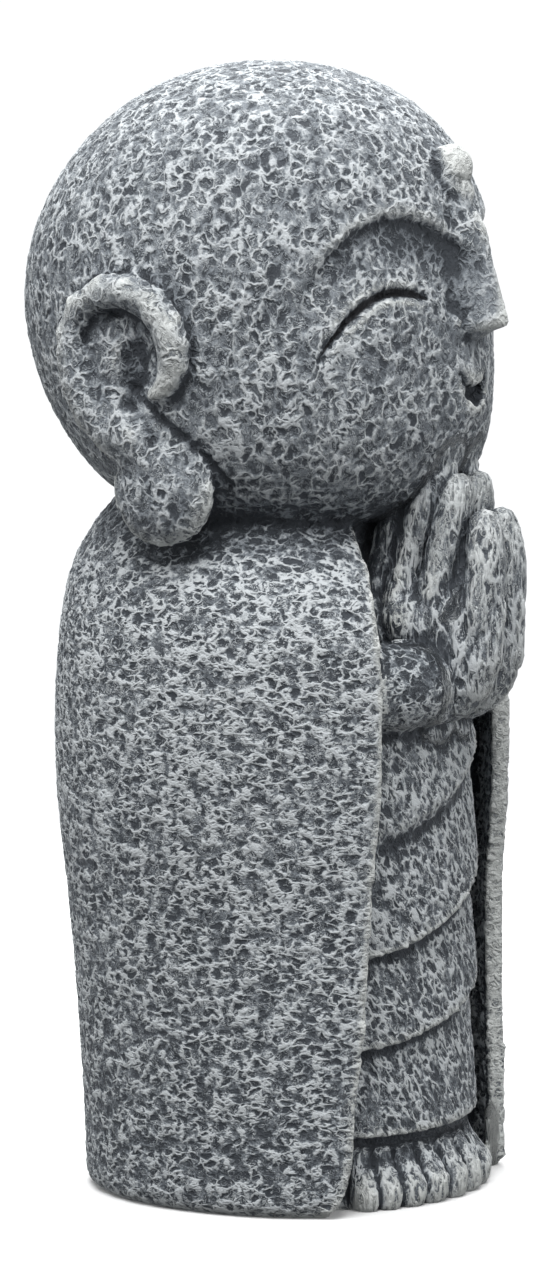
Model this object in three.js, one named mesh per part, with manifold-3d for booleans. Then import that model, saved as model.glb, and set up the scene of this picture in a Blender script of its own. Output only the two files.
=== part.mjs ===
// A praying jizo statuette, cast in one piece of stone: a large round head with long ears and a
// closed-eye smile, palms pressed together under the chin, a cloak that hangs open in front over
// a robe of overlapping folds, and a row of toes at the foot.
// Millimetres, +Z up. The figure faces -Y and stands on z = 0, with the origin at the middle of
// the cloak's footprint.
import * as THREE from "three";
import { mergeVertices } from "three/addons/utils/BufferGeometryUtils.js";
import Module from "manifold-3d";

const wasm = await Module();
wasm.setup();

const { lerp, clamp, smoothstep, degToRad } = THREE.MathUtils;

// Driving dimensions of the whole casting
const HEIGHT = 300;
const HEAD_HEIGHT = 125;
const HEAD_WIDTH = 124;
const HEAD_DEPTH = 124;

// Underside of the head, which the shoulders, the opening and the hands are set by
const CHIN_HEIGHT = HEIGHT - HEAD_HEIGHT;

// The head sits a little behind the middle of the foot, and its lower half is full and square
const head = {
  middle: HEIGHT - HEAD_HEIGHT / 2,
  setback: 11.5,
  chinForward: 4.6,
  crownForward: 3.6,
  upperSquareness: 2.15,
  chinSquareness: 3.2,
  napeSquareness: 2.3,
  columns: 42,
  rows: 27,
};

// Cloak: half-widths of its egg-shaped sections, from the hem to the neck
const cloak = {
  hemHalfWidth: 57,
  waistHalfWidth: 58.6,
  chestHalfWidth: 61.3,
  shoulderHalfWidth: 57,
  neckHalfWidth: 33,
  depthShare: 0.965,
  squareness: 2.25,
  waistHeight: 0.4 * CHIN_HEIGHT,
  chestHeight: CHIN_HEIGHT - 55,
  shoulderHeight: CHIN_HEIGHT - 15,
  neckHeight: CHIN_HEIGHT + 14,
  hemForward: 0.8,
  lean: 3.8,
  napeLean: 9.5,
  thickness: 5,
  hemRadius: 2.5,
};

// The cloak's opening: how far round from the front each edge stands, as [share of the neck's
// height, degrees]. Its edges end in round lower corners, and the space between them is cut back
// to a ridge in front of the figure's middle.
const opening = {
  rightEdge: [
    [0, 51.5], [0.16, 49.6], [0.29, 45.6], [0.45, 43.2], [0.61, 40.4], [0.82, 40.6], [0.93, 35.8],
    [1, 33],
  ],
  leftEdge: [[0, 41.5], [0.29, 42.5], [0.45, 41.2], [0.61, 37.5], [0.82, 39], [1, 36]],
  cutForward: 12,
  pocketDeg: 15,
  cornerRound: 18,
  rightCornerBackDeg: 8,
  leftCornerBackDeg: 3,
};

// Robe under the cloak: three overlapping folds and a hem, slanting up to the figure's left
const robe = {
  radius: 50.5,
  lip: 2.6,
  hemHeight: 18,
  foldHeights: [41, 65, 92.5],
  foldRise: [10, 14, 17],
  chestHeight: CHIN_HEIGHT - 63,
  neckHeight: cloak.neckHeight - 3,
  neckRadius: 30,
  setback: 2,
  turnInShare: 0.93,
};

// Feet: five toes on each side of the middle, the great toe first
const feet = {
  toeWidths: [10.2, 9.6, 8.6, 7.6, 6.2],
  toeHeights: [15.5, 14.2, 13.2, 12.2, 11],
  toeLength: 15,
  reach: 53,
  instepRadius: 47,
  instepHeight: 14,
};

// Hands pressed together in the middle plane
const hand = {
  fingerRadius: 3.9,
  fingerHalfThickness: 5.4,
  palmHalfBreadth: 17.5,
  palmHalfThickness: 7.6,
  forearmRadius: 12.5,
};

// Ears: a round rim that widens into a flat strap and a heavy round lobe
const ear = {
  rimRadius: 4.7,
  strapRadius: 7.4,
  lobeRadius: 14.2,
  lobeHalfThickness: 7.2,
};

// Solids from three.js geometries

function toSolid(geometry) {
  const bare = new THREE.BufferGeometry();
  bare.setAttribute("position", geometry.getAttribute("position"));
  bare.setIndex(geometry.index);
  const merged = mergeVertices(bare, 1e-4);
  const corners = merged.index.array;
  const kept = [];
  for (let i = 0; i < corners.length; i += 3) {
    const [a, b, c] = corners.slice(i, i + 3);
    if (a !== b && b !== c && c !== a) kept.push(a, b, c);
  }
  return new wasm.Manifold(
    new wasm.Mesh({
      numProp: 3,
      vertProperties: merged.attributes.position.array,
      triVerts: Uint32Array.from(kept),
    }),
  );
}

function toGeometry(solid) {
  const mesh = solid.getMesh();
  const geometry = new THREE.BufferGeometry();
  geometry.setAttribute("position", new THREE.BufferAttribute(mesh.vertProperties, 3));
  geometry.setIndex(new THREE.BufferAttribute(mesh.triVerts, 1));
  geometry.computeVertexNormals();
  return geometry;
}

function join(solids) {
  return solids.reduce((whole, piece) => whole.add(piece));
}

// A casting has no bubbles: the slivers of air sealed between two joined forms are filled
function withoutVoids(solid) {
  const shells = solid.decompose();
  return shells.reduce((outer, shell) => (shell.volume() > outer.volume() ? shell : outer));
}

// Moves every vertex of a geometry to where place(vertex) puts it
function reshape(geometry, place) {
  const position = geometry.getAttribute("position");
  const vertex = new THREE.Vector3();
  for (let i = 0; i < position.count; i++) {
    const moved = place(vertex.fromBufferAttribute(position, i));
    position.setXYZ(i, moved.x, moved.y, moved.z);
  }
  return geometry;
}

function mirrored(geometry) {
  const other = geometry.clone().scale(-1, 1, 1);
  const corners = other.index.array;
  for (let i = 0; i < corners.length; i += 3) {
    [corners[i + 1], corners[i + 2]] = [corners[i + 2], corners[i + 1]];
  }
  return other;
}

function onBothSides(geometry) {
  return [toSolid(geometry), toSolid(mirrored(geometry))];
}

// A rounded limb along a smooth curve. Each stop is [x, y, z, radius, thickness], where thickness is
// the half-thickness in the flatways direction, or the radius where it isn't given.
function limb(stops, { steps = 12, sides = 10, flatways = [1, 0, 0] } = {}) {
  const curve = new THREE.CatmullRomCurve3(
    stops.map(([x, y, z]) => new THREE.Vector3(x, y, z)),
    false,
    "centripetal",
  );
  const sizeAt = (t, column) => {
    const share = clamp(t, 0, 1) * (stops.length - 1);
    const i = Math.min(Math.floor(share), stops.length - 2);
    const size = (stop) => stop[column] ?? stop[3];
    return lerp(size(stops[i]), size(stops[i + 1]), smoothstep(share - i, 0, 1));
  };
  const flat = new THREE.Vector3(...flatways);
  return reshape(new THREE.SphereGeometry(1, sides, steps), (p) => {
    const along = (1 - clamp(p.y, -1, 1)) / 2;
    const round = Math.sqrt(Math.max(0, 1 - (2 * along - 1) ** 6));
    const ahead = curve.getTangent(along);
    const thick = flat.clone().addScaledVector(ahead, -flat.dot(ahead)).normalize();
    const broad = ahead.clone().cross(thick);
    const around = Math.atan2(p.z, p.x);
    const ring = Math.hypot(p.x, p.z) < 1e-6 ? 0 : round;
    return curve
      .getPoint(along)
      .addScaledVector(thick, ring * sizeAt(along, 4) * Math.cos(around))
      .addScaledVector(broad, ring * sizeAt(along, 3) * Math.sin(around));
  });
}

// Angles round the figure are measured from the front, positive towards its left hand (+X)

const frontAngle = (p, middleY = 0) => Math.atan2(p.x, middleY - p.y);

function ovalRadius(angle, halfWidth, halfDepth, squareness) {
  const across = Math.abs(Math.sin(angle) / halfWidth) ** squareness;
  const along = Math.abs(Math.cos(angle) / halfDepth) ** squareness;
  return (across + along) ** (-1 / squareness);
}

// Gathers evenly spread angles towards the front, where the carving is
const gather = (angle, amount) => angle - amount * Math.sin(angle);

const bump = (distance, width) => Math.exp(-((distance / width) ** 2));

// Head

const browPeak = 18;
const browSag = 10;
const browMiddle = 29;
const browReach = 22;

// How far the brow's line has fallen below its peak, at an angle from the front
function browDrop(angle) {
  const sideways = (Math.abs(angle) * (HEAD_WIDTH / 2) - browMiddle) / browReach;
  return browSag * Math.min(sideways ** 2, 1.3);
}

function headRadius(angle, rise) {
  const low = smoothstep(-rise, -0.35, 0.75);
  const nape = smoothstep(Math.abs(angle), degToRad(85), degToRad(160));
  const lowSquareness = lerp(head.chinSquareness, head.napeSquareness, nape);
  const squareness = lerp(head.upperSquareness, lowSquareness, low);
  const level = ovalRadius(angle, HEAD_WIDTH / 2, HEAD_DEPTH / 2, 2.05);
  const across = (Math.cos(rise) / level) ** squareness;
  const upward = Math.abs(Math.sin(rise) / (HEAD_HEIGHT / 2)) ** squareness;
  return (across + upward) ** (-1 / squareness);
}

// The face's soft forms, as millimetres in or out from the round head
function faceRelief(angle, height) {
  const fromMiddle = Math.abs(angle) * (HEAD_WIDTH / 2);
  const sideways = (fromMiddle - browMiddle) / browReach;
  const below = browPeak - browDrop(angle) - height;
  const inSocket = smoothstep(below, -1, 4) * (1 - smoothstep(below, 8, 21));
  const socket = -2.7 * inSocket * bump(sideways, 1);
  const muzzle = 3 * bump(fromMiddle, 12) * bump(height + 26, 13);
  const front = 1 - smoothstep(Math.abs(angle), degToRad(62), degToRad(85));
  return front * (socket + muzzle);
}

function headPoint(angle, rise) {
  const radius = headRadius(angle, rise);
  const height = radius * Math.sin(rise);
  const spread = radius * Math.cos(rise) + faceRelief(angle, height) * Math.cos(rise);
  const tilt = height / (HEAD_HEIGHT / 2);
  const forward =
    head.chinForward * smoothstep(-tilt, 0, 0.9) + head.crownForward * smoothstep(tilt, 0, 0.9);
  return new THREE.Vector3(
    spread * Math.sin(angle),
    head.setback - forward - spread * Math.cos(angle),
    head.middle + height,
  );
}

// The skull's rows of facets follow the brows
function skull() {
  const ball = new THREE.SphereGeometry(1, head.columns, head.rows).rotateX(Math.PI / 2);
  return reshape(ball, (p) => {
    const rise = Math.asin(clamp(p.z, -1, 1));
    const angle = gather(frontAngle(p), 0.45);
    const settled = rise - 0.2 * Math.sin(2 * rise);
    const height = settled * (HEAD_HEIGHT / 2);
    const front = 1 - smoothstep(Math.abs(angle), degToRad(60), degToRad(120));
    const drop = browDrop(angle) * bump(height - browPeak, 20) * front;
    return headPoint(angle, settled - (drop / (HEAD_HEIGHT / 2)) * Math.cos(rise));
  });
}

// A point on the face at an angle from the front and a height above the head's middle
function facePoint(angle, height, out = 0) {
  let rise = 0;
  for (let i = 0; i < 12; i++) {
    rise = Math.asin(clamp(height / headRadius(angle, rise), -1, 1));
  }
  const p = headPoint(angle, rise);
  const away = new THREE.Vector3(p.x, p.y - head.setback, 0).normalize();
  return p.addScaledVector(away, out);
}

function nose() {
  const bridge = facePoint(0, 21, -3.2);
  const middle = facePoint(0, 9, 1.2);
  const tip = facePoint(0, -3, 5.8);
  const under = facePoint(0, -10, -2.4);
  return limb(
    [
      [0, bridge.y, bridge.z, 4.2],
      [0, middle.y, middle.z, 4.6, 5],
      [0, tip.y, tip.z, 5, 6.2],
      [0, under.y, under.z, 4.2, 5],
    ],
    { steps: 8, sides: 10 },
  );
}

function nostril(side) {
  const wing = facePoint(degToRad(5.6 * side), -6.5, -0.4);
  return new THREE.SphereGeometry(3.6, 8, 6).scale(1, 1.15, 0.9).translate(wing.x, wing.y, wing.z);
}

function browJewel() {
  const spot = facePoint(0, 34, -1.4);
  return new THREE.SphereGeometry(5.6, 14, 10).scale(1, 0.8, 1.05).translate(0, spot.y, spot.z);
}

// A closed eye: a curved groove that droops towards the ear
function eyeGroove(side) {
  const stops = [17, 24, 32, 40, 47].map((deg) => {
    const fall = ((deg - 25) / 22) ** 2 * (deg > 25 ? 16 : 6);
    return facePoint(degToRad(deg * side), 1 - fall, -0.1);
  });
  return limb(
    stops.map((p, i) => [p.x, p.y, p.z, [0.5, 0.95, 1.1, 0.95, 0.5][i]]),
    { steps: 12, sides: 6 },
  );
}

// A small open smile: a crescent pushed into the face
const smileDepth = 3.4;

function smile() {
  const corner = 8.2;
  const outline = new THREE.Shape();
  outline.moveTo(-corner, 3.6);
  outline.quadraticCurveTo(0, -3.2, corner, 3.6);
  outline.quadraticCurveTo(0, -10.5, -corner, 3.6);
  const depth = 14;
  const slab = new THREE.ExtrudeGeometry(outline, { depth, bevelEnabled: false, curveSegments: 8 });
  const lips = facePoint(0, -25);
  return slab.rotateX(Math.PI / 2).translate(0, lips.y + smileDepth, lips.z);
}

// A place on the right ear, as shares of half the head's width, depth and height
const earPlace = ([out, back, up]) => [
  (-out * HEAD_WIDTH) / 2,
  head.setback + (back * HEAD_DEPTH) / 2,
  head.middle + (up * HEAD_HEIGHT) / 2,
];

// An ear, from the curl at the front of the rim, over the top and down to the lobe
function earRim() {
  const rim = ear.rimRadius;
  const strap = ear.strapRadius;
  const stops = [
    [[0.978, 0.014, -0.398], rim * 0.7],
    [[0.998, -0.086, -0.347], rim * 0.85],
    [[1.02, -0.13, -0.245], rim * 0.95],
    [[1.032, -0.121, -0.13], rim],
    [[1.032, -0.031, -0.013], rim],
    [[1.023, 0.115, 0.043], rim],
    [[0.99, 0.282, -0.002], rim],
    [[0.968, 0.369, -0.133], rim],
    [[0.965, 0.353, -0.277], rim * 1.15],
    [[0.968, 0.282, -0.424], strap, rim],
    [[0.968, 0.147, -0.552], strap * 1.15, rim],
    [[0.927, 0.015, -0.712], strap * 1.4, rim],
  ];
  return limb(stops.map(([place, ...sizes]) => [...earPlace(place), ...sizes]), {
    steps: 22,
    sides: 8,
  });
}

function earLobe() {
  return new THREE.SphereGeometry(1, 10, 12)
    .scale(ear.lobeHalfThickness, ear.lobeRadius, ear.lobeRadius * 1.04)
    .translate(...earPlace([0.894, -0.02, -0.792]));
}

function earBowl() {
  return new THREE.SphereGeometry(1, 10, 8)
    .scale(5, 12.5, 15)
    .translate(...earPlace([0.935, 0.185, -0.232]));
}

function earHollow() {
  return new THREE.SphereGeometry(1, 8, 8)
    .scale(5.4, 4.6, 10)
    .rotateX(degToRad(16))
    .translate(...earPlace([1.055, 0.06, -0.28]));
}

// Cloak

const cloakWidth = new THREE.CatmullRomCurve3([
  new THREE.Vector3(cloak.hemHalfWidth, 0, 0),
  new THREE.Vector3(cloak.waistHalfWidth, 0, cloak.waistHeight),
  new THREE.Vector3(cloak.chestHalfWidth, 0, cloak.chestHeight),
  new THREE.Vector3(cloak.shoulderHalfWidth, 0, cloak.shoulderHeight),
  new THREE.Vector3(cloak.neckHalfWidth, 0, cloak.neckHeight),
]);
const cloakRows = cloakWidth.getPoints(60);

function cloakHalfWidth(height) {
  const above = cloakRows.findIndex((p) => p.z >= height);
  if (above <= 0) return above === 0 ? cloak.hemHalfWidth : cloak.neckHalfWidth;
  const [low, high] = [cloakRows[above - 1], cloakRows[above]];
  return lerp(low.x, high.x, (height - low.z) / (high.z - low.z));
}

const cloakMiddle = (height) =>
  lerp(-cloak.hemForward, cloak.lean, smoothstep(height, 0, cloak.chestHeight)) +
  cloak.napeLean * smoothstep(height, cloak.shoulderHeight - 10, cloak.neckHeight);

// A point inside the cloak's outline, at a share of its half-width less an inset
function cloakPoint(angle, height, share = 1, inset = 0) {
  const halfWidth = cloakHalfWidth(height);
  const wall = ovalRadius(angle, halfWidth, halfWidth * cloak.depthShare, cloak.squareness);
  const reach = share * (wall - inset);
  return new THREE.Vector3(
    reach * Math.sin(angle),
    cloakMiddle(height) - reach * Math.cos(angle),
    height,
  );
}

// A lathe whose profile is given as [share of the half-width, height], turned about Z
function turned(profile, sides) {
  const points = profile.map(([share, height]) => new THREE.Vector2(share, height));
  return new THREE.LatheGeometry(points, sides).rotateX(Math.PI / 2);
}

function cloakBody() {
  const levels = [0.13, 0.275, 0.42, 0.54, 0.635, 0.72, 0.79, 0.85, 0.895, 0.94, 0.975];
  const profile = [[0, 0], [1 - cloak.hemRadius / cloak.hemHalfWidth, 0], [1, cloak.hemRadius]];
  for (const level of levels) profile.push([1, level * cloak.neckHeight]);
  profile.push([0.86, cloak.neckHeight], [0, cloak.neckHeight + 2]);
  return reshape(turned(profile, 40), (p) =>
    cloakPoint(gather(frontAngle(p), 0.1), p.z, Math.hypot(p.x, p.y)),
  );
}

const edgeCurve = (stops) =>
  new THREE.SplineCurve(
    stops.map(([share, deg]) => new THREE.Vector2(share * cloak.neckHeight, deg)),
  );
const rightCurve = edgeCurve(opening.rightEdge).getPoints(60);
const leftCurve = edgeCurve(opening.leftEdge).getPoints(60);

// The angle of a cloak edge at a height, its lower corner rounded off towards the back
function edgeAngle(curve, height, cornerBackDeg) {
  const next = clamp(curve.findIndex((p) => p.x > height), 1, curve.length - 1);
  const [low, high] = [curve[next - 1], curve[next]];
  const deg = lerp(low.y, high.y, clamp((height - low.x) / (high.x - low.x), 0, 1));
  const corner = 1 - Math.sqrt(1 - (1 - clamp(height / opening.cornerRound, 0, 1)) ** 2);
  return degToRad(deg + cornerBackDeg * corner);
}

const rightEdge = (height) => edgeAngle(rightCurve, height, opening.rightCornerBackDeg);
const leftEdge = (height) => edgeAngle(leftCurve, height, opening.leftCornerBackDeg);

// The space in front of the body: a wedge between the edges, and a pocket behind each edge
function cloakSpace(extraDeg, inset, outward) {
  const columns = 20;
  const lastTurn = 1 - 2 / columns;
  const low = [-0.3, 0.03, 0.2, 0.45, 0.78, 1.2].map((share) => share * opening.cornerRound);
  const upper = [0.265, 0.42, 0.57, 0.69, 0.78, 0.86, 0.93, 0.99];
  const levels = [...low, ...upper.map((share) => share * cloak.neckHeight)];
  const profile = [[0, levels.at(0)], ...levels.map((level) => [1, level]), [0, levels.at(-1)]];
  return reshape(turned(profile, columns), (p) => {
    const share = Math.hypot(p.x, p.y);
    const turn = frontAngle(p) / Math.PI;
    if (Math.abs(turn) > lastTurn + 0.01) return new THREE.Vector3(0, -opening.cutForward, p.z);
    const half = (turn < 0 ? rightEdge(p.z) : leftEdge(p.z)) + degToRad(extraDeg);
    const angle = (turn / lastTurn) * half;
    return cloakPoint(angle, Math.max(p.z, 0), share, inset - outward).setZ(p.z);
  });
}

// Robe: folds stacked like tiles, each lip standing proud of the fold below it

function foldHeight(level, angle) {
  const across = clamp((angle + degToRad(38)) / degToRad(50), 0, 2.2);
  return robe.foldHeights[level] + robe.foldRise[level] * across ** 1.35;
}

function robeBody() {
  const tiers = [robe.hemHeight, ...robe.foldHeights];
  const top = tiers.length;
  const profile = [[0, 0], [robe.turnInShare, 0]];
  tiers.forEach((_, i) => {
    profile.push([1 - (robe.lip * 1.15) / robe.radius, i + 0.02]);
    profile.push([1, i + 0.06]);
    for (const part of [0.3, 0.6]) {
      profile.push([1 - (robe.lip / robe.radius) * part, i + part]);
    }
  });
  profile.push([0.95, top - 0.15], [0.95, top], [0, top]);
  const tierHeight = (i, angle) => {
    if (i <= 0) return i < 0 ? 0 : robe.hemHeight;
    return i >= top ? robe.neckHeight : foldHeight(i - 1, angle);
  };
  return reshape(turned(profile, 30), (p) => {
    const share = Math.hypot(p.x, p.y);
    const angle = gather(frontAngle(p), 0.5);
    const tier = Math.floor(p.z + 1e-6);
    const low = tierHeight(tier, angle);
    const high = tierHeight(tier + 1, angle);
    const height = share < 0.96 && tier === 0 && p.z < 0.01 ? 0 : lerp(low, high, p.z - tier);
    const taper = smoothstep(height, robe.chestHeight, robe.neckHeight);
    const reach = share * lerp(robe.radius, robe.neckRadius, taper);
    const [across, back] = [reach * Math.sin(angle), robe.setback - reach * Math.cos(angle)];
    return new THREE.Vector3(across, back, height);
  });
}

// Feet

function footParts() {
  const instep = turned(
    [
      [0, 0],
      [1, 0],
      [1, feet.instepHeight * 0.5],
      [0.93, feet.instepHeight],
      [0, feet.instepHeight + 5],
    ],
    40,
  );
  const parts = [
    toSolid(
      reshape(instep, (p) => {
        const reach = Math.hypot(p.x, p.y) * feet.instepRadius;
        const angle = frontAngle(p);
        return new THREE.Vector3(reach * Math.sin(angle), -reach * Math.cos(angle), p.z);
      }),
    ),
  ];
  let along = 0;
  feet.toeWidths.forEach((width, i) => {
    const angle = (along + width / 2) / feet.reach;
    along += width * 0.97;
    const r = width * 0.53;
    const tip = r - feet.reach;
    const top = feet.toeHeights[i] - r;
    for (const side of [-1, 1]) {
      const toe = limb(
        [
          [0, tip + 1, -r, r],
          [0, tip, top * 0.45, r],
          [0, tip + 4, top, r],
          [0, tip + feet.toeLength, top + 2.5, r],
        ],
        { steps: 5, sides: 8 },
      );
      parts.push(toSolid(toe.rotateZ(side * angle)));
    }
  });
  return parts;
}

// Hands: stops are for the figure's right hand, as [x, y, height above the chin's underside], and
// the left hand is its mirror image

const fingers = [
  { base: [-7.4, -28.5, -19], middle: [-7.2, -32.4, 0], tip: [-6, -37.4, 15] },
  { base: [-7.4, -35.8, -19], middle: [-7.6, -39.6, 2], tip: [-6.4, -47.6, 21] },
  { base: [-7.4, -44.8, -21], middle: [-7.4, -48.2, 0], tip: [-5.6, -50.6, 16.4] },
  { base: [-7.2, -56, -29], middle: [-6.4, -58.6, -9], tip: [-4.8, -57.2, 7] },
];

function fingerLimbs() {
  const r = hand.fingerRadius;
  const thick = hand.fingerHalfThickness;
  const upToChin = ([x, y, up], radius, thickness) => [x, y, CHIN_HEIGHT + up, radius, thickness];
  return fingers.map(({ base, middle, tip }) =>
    limb(
      [
        upToChin(base, r * 1.2, thick * 1.2),
        upToChin(middle, r * 1.1, thick * 1.1),
        upToChin(tip, r * 0.98, thick * 0.9),
      ],
      { steps: 7, sides: 8 },
    ),
  );
}

function palm() {
  const breadth = hand.palmHalfBreadth;
  const thickness = hand.palmHalfThickness;
  return limb(
    [
      [-7, -42.5, CHIN_HEIGHT - 48, breadth * 0.6, thickness],
      [-7.2, -44.2, CHIN_HEIGHT - 38, breadth * 0.86, thickness],
      [-6.8, -46.3, CHIN_HEIGHT - 25, breadth, thickness],
      [-5, -46, CHIN_HEIGHT - 9, breadth * 0.9, thickness * 0.6],
      [-3.6, -46.6, CHIN_HEIGHT + 6, breadth * 0.76, thickness * 0.4],
    ],
    { steps: 9, sides: 12 },
  );
}

function forearm() {
  const r = hand.forearmRadius;
  return limb(
    [
      [-4, -44, CHIN_HEIGHT - 36, r * 0.9],
      [-18, -39.5, CHIN_HEIGHT - 39, r],
      [-33, -29, CHIN_HEIGHT - 38, r * 1.05],
      [-45, -10, CHIN_HEIGHT - 33, r * 1.05],
    ],
    { steps: 7, sides: 10, flatways: [0, 0, 1] },
  );
}

// The whole statue

function carveHead() {
  const forms = [skull(), nose(), nostril(-1), nostril(1), browJewel()].map(toSolid);
  const grooves = [eyeGroove(-1), eyeGroove(1), smile()].map(toSolid);
  const face = grooves.reduce((solid, groove) => solid.subtract(groove), join(forms));
  const bowls = join(onBothSides(earBowl())).subtract(join(onBothSides(earHollow())));
  return join([face, bowls, ...onBothSides(earRim()), ...onBothSides(earLobe())]);
}

function carveCloak() {
  const wedge = toSolid(cloakSpace(0, 0, 12));
  const pocket = toSolid(cloakSpace(opening.pocketDeg, cloak.thickness, 0));
  return toSolid(cloakBody()).subtract(wedge).subtract(pocket);
}

function carveHands() {
  const right = [...fingerLimbs(), palm(), forearm()];
  return join(right.flatMap(onBothSides));
}

const statue = join([carveCloak(), toSolid(robeBody()), ...footParts(), carveHands(), carveHead()]);
const ground = new THREE.BoxGeometry(4 * HEAD_WIDTH, 4 * HEAD_WIDTH, 40).translate(0, 0, -20);
const standing = withoutVoids(statue.subtract(toSolid(ground)));

const stone = new THREE.MeshStandardMaterial({ color: 0x848a8e, roughness: 0.9, metalness: 0 });

const jizo = new THREE.Mesh(toGeometry(standing), stone);
jizo.name = "jizo_statue";

const part = new THREE.Group();
part.add(jizo);

export default part;
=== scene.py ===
"""A praying jizo statuette in rough cast stone: its hammered surface, its paint and its studio."""

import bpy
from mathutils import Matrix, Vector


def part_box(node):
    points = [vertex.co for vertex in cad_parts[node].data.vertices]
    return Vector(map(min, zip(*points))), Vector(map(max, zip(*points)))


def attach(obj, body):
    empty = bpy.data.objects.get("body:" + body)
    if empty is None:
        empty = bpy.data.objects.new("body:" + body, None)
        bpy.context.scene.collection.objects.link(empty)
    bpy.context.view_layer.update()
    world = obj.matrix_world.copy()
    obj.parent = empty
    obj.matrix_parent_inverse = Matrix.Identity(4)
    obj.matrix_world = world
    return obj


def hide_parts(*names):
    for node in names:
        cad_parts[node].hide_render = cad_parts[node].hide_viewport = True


bl_info = {
    "name": "Stone Jizo Statuette",
    "version": (1, 0, 0),
    "blender": (4, 5, 0),
    "location": "View3D > Sidebar > Statuette",
    "description": "Carves, hammers and paints a cast-stone figure, and sets up a studio for it",
    "category": "Object",
}

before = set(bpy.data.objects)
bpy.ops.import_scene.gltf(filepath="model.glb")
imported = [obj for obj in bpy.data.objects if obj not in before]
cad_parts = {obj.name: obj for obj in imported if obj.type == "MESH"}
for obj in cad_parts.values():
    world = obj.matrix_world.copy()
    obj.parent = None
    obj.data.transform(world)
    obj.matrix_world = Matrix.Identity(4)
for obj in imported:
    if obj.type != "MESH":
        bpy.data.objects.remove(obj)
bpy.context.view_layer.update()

import math

import bmesh
import bpy
import numpy as np
from bpy.props import FloatProperty, FloatVectorProperty, IntProperty, PointerProperty
from mathutils import Vector
from mathutils.bvhtree import BVHTree
from mathutils.kdtree import KDTree

NODE = "jizo_statue"
BODY = "root"
MM = 0.001

FIGURE_LOW, FIGURE_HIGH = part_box(NODE)
HEIGHT = FIGURE_HIGH[2] - FIGURE_LOW[2]

# The figure's own landmarks, as the solid has them
HEAD_HEIGHT = 125 * MM
HEAD_WIDTH = 124 * MM
HEAD_MIDDLE = HEIGHT - HEAD_HEIGHT / 2
HEAD_SETBACK = 11.5 * MM
CHIN_HEIGHT = HEIGHT - HEAD_HEIGHT
SHOULDER_HEIGHT = 178 * MM

# The figure's right hand: stops in millimetres, as x, y, height above the chin's underside, radius
HAND_LINES = (
    ((-7.4, -28.5, -19, 5.5), (-7.2, -32.4, 0, 5.2), (-6, -37.4, 15, 4.2)),
    ((-7.4, -35.8, -19, 5.5), (-7.6, -39.6, 2, 5.2), (-6.4, -47.6, 21, 4.2)),
    ((-7.4, -44.8, -21, 5.5), (-7.4, -48.2, 0, 5.2), (-5.6, -50.6, 16.4, 4.2)),
    ((-7.2, -56, -29, 5.5), (-6.4, -58.6, -9, 5.2), (-4.8, -57.2, 7, 4.2)),
    ((-7, -36, -28, 8.5), (-7, -42.5, -44, 8.5)),
    ((-7, -46, -28, 8.5), (-7, -43.5, -44, 8.5)),
    ((-7, -55, -28, 8.5), (-7, -48, -40, 8.5)),
)

# Toes: how far from the figure's middle they reach and start, and the angles they lie between
TOE_REACH = 54 * MM
TOE_START = 44 * MM
TOE_HEIGHT = 17 * MM
TOE_RIGHT_DEG = -45.5
TOE_LEFT_DEG = 41.5
TOE_GROOVES_DEG = (0.0, 10.8, 20.9, 29.9, 37.9)

# Brows, closed eyes, smile and forehead jewel, in millimetres from the head's middle and degrees
# from the front
BROW_PEAK = 22.0
BROW_FALL_OUT = 11.7
BROW_FALL_IN = 6.3
BROW_MIDDLE = 29.5
BROW_REACH = 22.0
EYE_INNER_DEG = 16.5
EYE_OUTER_DEG = 49.0
EYE_PEAK_DEG = 27.0
EYE_SPREAD_DEG = 21.0
EYE_HEIGHT = 1.8
EYE_FALL_OUT = 16.2
EYE_FALL_IN = 7.5
MOUTH_HALF_WIDTH = 8.2
MOUTH_CORNERS = -19.0
UPPER_LIP = -22.4
LOWER_LIP = -27.0
JEWEL_HEIGHT = 32.5
JEWEL_RADIUS = 7.0
MM_PER_DEGREE = math.radians(1.0) * HEAD_WIDTH / 2 / MM

# The dark hollow inside each ear: its middle and half-sizes
EAR_HOLLOW = (-61 * MM, 15.6 * MM, 220.5 * MM)
EAR_HOLLOW_SIZE = (9 * MM, 5.2 * MM, 9.5 * MM)

# The crease before each ear's lobe, and the dip above the lobe, as y and z, and how far to the side
# both of them start
EAR_CREASE = ((16, 215), (8, 207), (-2, 198), (-6, 190))
EAR_NECK = (11 * MM, 202 * MM)
EAR_NECK_SIZE = (8 * MM, 8 * MM)
EAR_START = 45 * MM

# The dip between each hand and its sleeve: middle as y and z, reach along y and z, and how far to
# the side it starts and ends
HAND_BACK = (-37 * MM, 154.5 * MM)
HAND_BACK_SIZE = (9 * MM, 8 * MM)
HAND_BACK_START = (6 * MM, 11 * MM)
HAND_BACK_END = (16 * MM, 24 * MM)

# The nose's straight back, as heights and how far forward it lies there, and the cheeks' own reach
# forward, which falls back above their top, in millimetres
NOSE_LINE = ((232.0, 61.6), (256.0, 54.8), (268.0, 47.5))
CHEEK_REACH = 49.5
CHEEK_TOP = 253.0
CHEEK_FALL = 0.23

# The heights over which the nose sets in, at its tip and at its root, and how far forward it starts
NOSE_TIP = (229 * MM, 231 * MM)
NOSE_ROOT = (262 * MM, 268 * MM)
NOSE_START = 40 * MM

# The nose and mouth, which are worked smoother: middle and half-sizes
NOSE = (0.0, -54 * MM, 236 * MM)
NOSE_SIZE = (11 * MM, 17 * MM, 15 * MM)

# The shaded sleeve under each hand: its middle and radius
SLEEVE = (-22 * MM, -42 * MM, 140 * MM)
SLEEVE_RADIUS = 17 * MM

# The robe's reach from the figure's axis, and its top
ROBE_REACH = 50 * MM
ROBE_TOP = 130 * MM

# The cloak's cut faces: how far from the axis they start, and how far to the side
HEM_START = (50 * MM, 53 * MM)
HEM_SIDE = 25 * MM

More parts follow.
